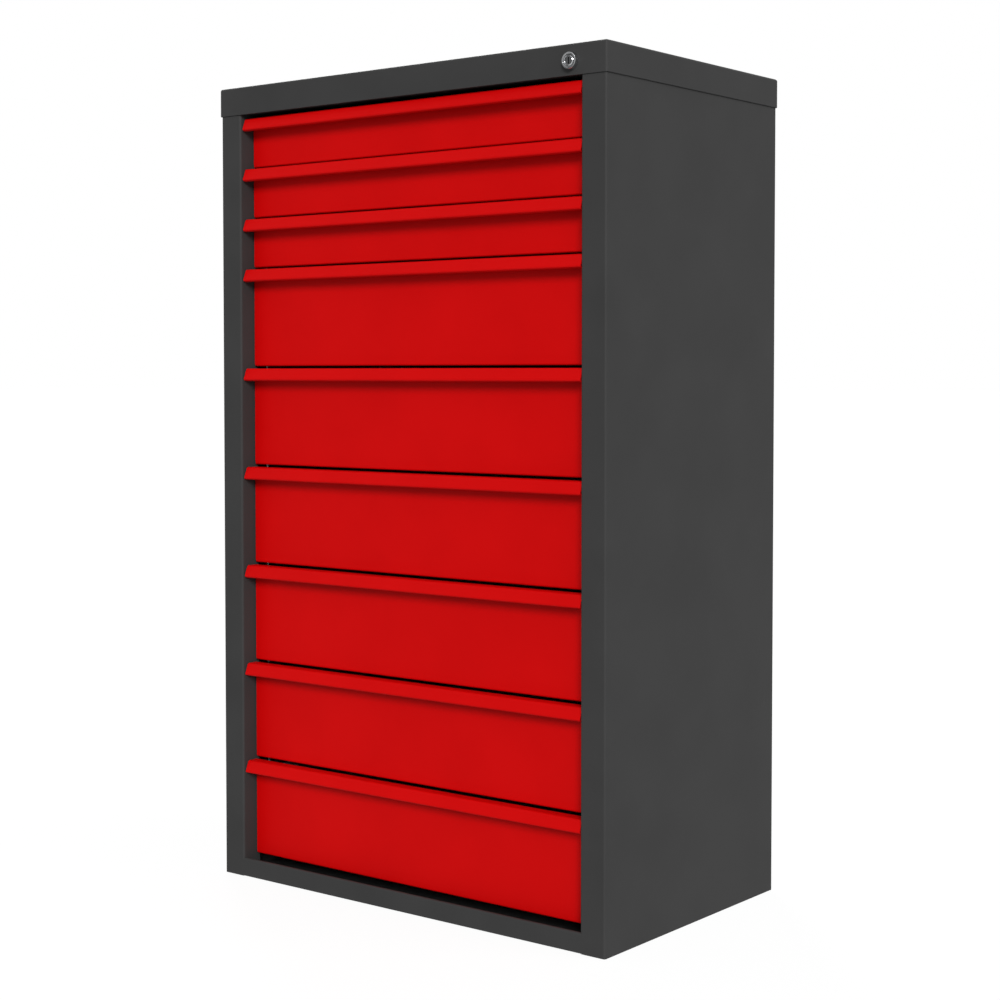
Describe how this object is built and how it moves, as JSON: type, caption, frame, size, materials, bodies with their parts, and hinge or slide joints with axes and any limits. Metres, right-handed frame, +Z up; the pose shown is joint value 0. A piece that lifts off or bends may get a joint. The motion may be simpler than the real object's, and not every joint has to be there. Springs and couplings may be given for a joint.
{
  "type": "drawer cabinet",
  "caption": "Free-standing steel workshop cabinet with full-width drawers on telescopic slides, folded grip strips and a cylinder lock that drives a vertical locking bar.",
  "frame": {"origin": "on the floor, under the middle of the housing", "axes": "+Z up, +X to the right of someone facing the front, and the drawers open towards -Y"},
  "size_m": [0.603, 0.3732, 1.008],
  "materials": {
    "anthracite_powder_coat": "satin fine-texture powder coat on sheet steel",
    "red_powder_coat": "satin powder coat on sheet steel",
    "grey_powder_coat": "satin powder coat on sheet steel",
    "zinc_plated_steel": "bright zinc plate on rolled steel",
    "chrome_plated_zinc": "polished chrome plate on die-cast zinc"
  },
  "bodies": {
    "housing": {"side_panel_left": "anthracite_powder_coat", "side_panel_right": "anthracite_powder_coat", "back_panel": "anthracite_powder_coat", "base_pan": "anthracite_powder_coat", "top_cover": "anthracite_powder_coat", "front_top_rail": "anthracite_powder_coat", "front_bottom_rail": "anthracite_powder_coat", "runner_bank_left": "zinc_plated_steel", "runner_bank_right": "zinc_plated_steel", "lock_housing": "chrome_plated_zinc", "lock_nut": "zinc_plated_steel", "bar_guide_1": "zinc_plated_steel", "bar_guide_2": "zinc_plated_steel", "bar_guide_3": "zinc_plated_steel"},
    "drawer_1": {"drawer_front_1": "red_powder_coat", "drawer_box_1": "grey_powder_coat"},
    "slide_stage_1": {"slide_middle_left_1": "zinc_plated_steel", "slide_middle_right_1": "zinc_plated_steel"},
    "drawer_2": {"drawer_front_2": "red_powder_coat", "drawer_box_2": "grey_powder_coat"},
    "slide_stage_2": {"slide_middle_left_2": "zinc_plated_steel", "slide_middle_right_2": "zinc_plated_steel"},
    "drawer_3": {"drawer_front_3": "red_powder_coat", "drawer_box_3": "grey_powder_coat"},
    "slide_stage_3": {"slide_middle_left_3": "zinc_plated_steel", "slide_middle_right_3": "zinc_plated_steel"},
    "drawer_4": {"drawer_front_4": "red_powder_coat", "drawer_box_4": "grey_powder_coat"},
    "slide_stage_4": {"slide_middle_left_4": "zinc_plated_steel", "slide_middle_right_4": "zinc_plated_steel"},
    "drawer_5": {"drawer_front_5": "red_powder_coat", "drawer_box_5": "grey_powder_coat"},
    "slide_stage_5": {"slide_middle_left_5": "zinc_plated_steel", "slide_middle_right_5": "zinc_plated_steel"},
    "drawer_6": {"drawer_front_6": "red_powder_coat", "drawer_box_6": "grey_powder_coat"},
    "slide_stage_6": {"slide_middle_left_6": "zinc_plated_steel", "slide_middle_right_6": "zinc_plated_steel"},
    "drawer_7": {"drawer_front_7": "red_powder_coat", "drawer_box_7": "grey_powder_coat"},
    "slide_stage_7": {"slide_middle_left_7": "zinc_plated_steel", "slide_middle_right_7": "zinc_plated_steel"},
    "drawer_8": {"drawer_front_8": "red_powder_coat", "drawer_box_8": "grey_powder_coat"},
    "slide_stage_8": {"slide_middle_left_8": "zinc_plated_steel", "slide_middle_right_8": "zinc_plated_steel"},
    "drawer_9": {"drawer_front_9": "red_powder_coat", "drawer_box_9": "grey_powder_coat"},
    "slide_stage_9": {"slide_middle_left_9": "zinc_plated_steel", "slide_middle_right_9": "zinc_plated_steel"},
    "lock_plug": {"lock_plug": "chrome_plated_zinc", "lock_cam": "zinc_plated_steel", "cam_screw": "zinc_plated_steel"},
    "locking_bar": {"locking_bar": "zinc_plated_steel"}
  },
  "joints": [
    {"name": "drawer_1_slide", "type": "slide", "parent": "housing", "child": "drawer_1", "axis": [0, -1, 0], "range_m": [0, 0.3]},
    {"name": "slide_stage_1_travel", "type": "slide", "parent": "housing", "child": "slide_stage_1", "axis": [0, -1, 0], "range_m": [0, 0.15]},
    {"name": "drawer_2_slide", "type": "slide", "parent": "housing", "child": "drawer_2", "axis": [0, -1, 0], "range_m": [0, 0.3]},
    {"name": "slide_stage_2_travel", "type": "slide", "parent": "housing", "child": "slide_stage_2", "axis": [0, -1, 0], "range_m": [0, 0.15]},
    {"name": "drawer_3_slide", "type": "slide", "parent": "housing", "child": "drawer_3", "axis": [0, -1, 0], "range_m": [0, 0.3]},
    {"name": "slide_stage_3_travel", "type": "slide", "parent": "housing", "child": "slide_stage_3", "axis": [0, -1, 0], "range_m": [0, 0.15]},
    {"name": "drawer_4_slide", "type": "slide", "parent": "housing", "child": "drawer_4", "axis": [0, -1, 0], "range_m": [0, 0.3]},
    {"name": "slide_stage_4_travel", "type": "slide", "parent": "housing", "child": "slide_stage_4", "axis": [0, -1, 0], "range_m": [0, 0.15]},
    {"name": "drawer_5_slide", "type": "slide", "parent": "housing", "child": "drawer_5", "axis": [0, -1, 0], "range_m": [0, 0.3]},
    {"name": "slide_stage_5_travel", "type": "slide", "parent": "housing", "child": "slide_stage_5", "axis": [0, -1, 0], "range_m": [0, 0.15]},
    {"name": "drawer_6_slide", "type": "slide", "parent": "housing", "child": "drawer_6", "axis": [0, -1, 0], "range_m": [0, 0.3]},
    {"name": "slide_stage_6_travel", "type": "slide", "parent": "housing", "child": "slide_stage_6", "axis": [0, -1, 0], "range_m": [0, 0.15]},
    {"name": "drawer_7_slide", "type": "slide", "parent": "housing", "child": "drawer_7", "axis": [0, -1, 0], "range_m": [0, 0.3]},
    {"name": "slide_stage_7_travel", "type": "slide", "parent": "housing", "child": "slide_stage_7", "axis": [0, -1, 0], "range_m": [0, 0.15]},
    {"name": "drawer_8_slide", "type": "slide", "parent": "housing", "child": "drawer_8", "axis": [0, -1, 0], "range_m": [0, 0.3]},
    {"name": "slide_stage_8_travel", "type": "slide", "parent": "housing", "child": "slide_stage_8", "axis": [0, -1, 0], "range_m": [0, 0.15]},
    {"name": "drawer_9_slide", "type": "slide", "parent": "housing", "child": "drawer_9", "axis": [0, -1, 0], "range_m": [0, 0.3]},
    {"name": "slide_stage_9_travel", "type": "slide", "parent": "housing", "child": "slide_stage_9", "axis": [0, -1, 0], "range_m": [0, 0.15]},
    {"name": "lock_turn", "type": "hinge", "parent": "housing", "child": "lock_plug", "pos_m": [0.254, -0.1897, 0.9885], "axis": [0, 1, 0], "range_deg": [0, 90]},
    {"name": "locking_bar_travel", "type": "slide", "parent": "housing", "child": "locking_bar", "axis": [0, 0, -1], "range_m": [0, 0.01202]}
  ],
  "couplings": [
    {"joint": "slide_stage_1_travel", "follows": "drawer_1_slide", "ratio": 0.5},
    {"joint": "slide_stage_2_travel", "follows": "drawer_2_slide", "ratio": 0.5},
    {"joint": "slide_stage_3_travel", "follows": "drawer_3_slide", "ratio": 0.5},
    {"joint": "slide_stage_4_travel", "follows": "drawer_4_slide", "ratio": 0.5},
    {"joint": "slide_stage_5_travel", "follows": "drawer_5_slide", "ratio": 0.5},
    {"joint": "slide_stage_6_travel", "follows": "drawer_6_slide", "ratio": 0.5},
    {"joint": "slide_stage_7_travel", "follows": "drawer_7_slide", "ratio": 0.5},
    {"joint": "slide_stage_8_travel", "follows": "drawer_8_slide", "ratio": 0.5},
    {"joint": "slide_stage_9_travel", "follows": "drawer_9_slide", "ratio": 0.5},
    {"joint": "lock_turn", "follows": "locking_bar_travel", "rad_per_m": 130.67}
  ]
}
